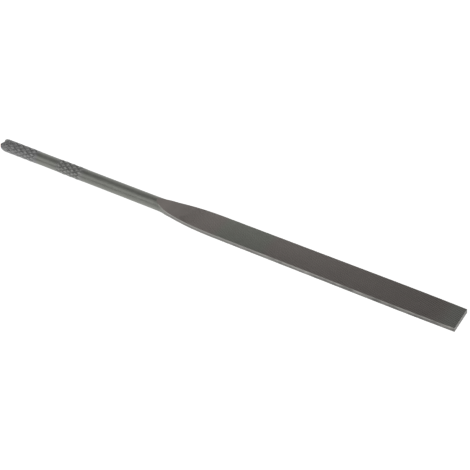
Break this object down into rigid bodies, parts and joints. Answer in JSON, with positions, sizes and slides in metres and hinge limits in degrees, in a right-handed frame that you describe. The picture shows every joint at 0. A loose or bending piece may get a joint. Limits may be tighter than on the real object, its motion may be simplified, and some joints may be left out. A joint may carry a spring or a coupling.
{
  "type": "flat needle file",
  "caption": "Slim hand file in one bar of steel: a round handle with diamond-knurled grip bands, a ground neck and a flat parallel blade with file-cut faces.",
  "frame": {"origin": "under the middle of the file's length and width, at the height of its lowest point, the underside of the knurl", "axes": "+X along the file from the butt of the handle towards the tip of the blade, +Z out of the upper working face, +Y across the blade"},
  "size_m": [0.16, 0.0074, 0.0042],
  "materials": {
    "turned_steel": "drawn and hardened, satin dark grey",
    "knurled_steel": "rolled diamond knurl, satin dark grey, crowns worn brighter",
    "ground_steel": "forged and ground, satin dark grey",
    "cut_steel": "file-cut and hardened, matt dark grey"
  },
  "bodies": {
    "root": {"butt": "knurled_steel", "rear_knurl": "knurled_steel", "plain_band": "turned_steel", "front_knurl": "knurled_steel", "shank": "turned_steel", "neck": "ground_steel", "blade": "cut_steel"}
  },
  "joints": []
}
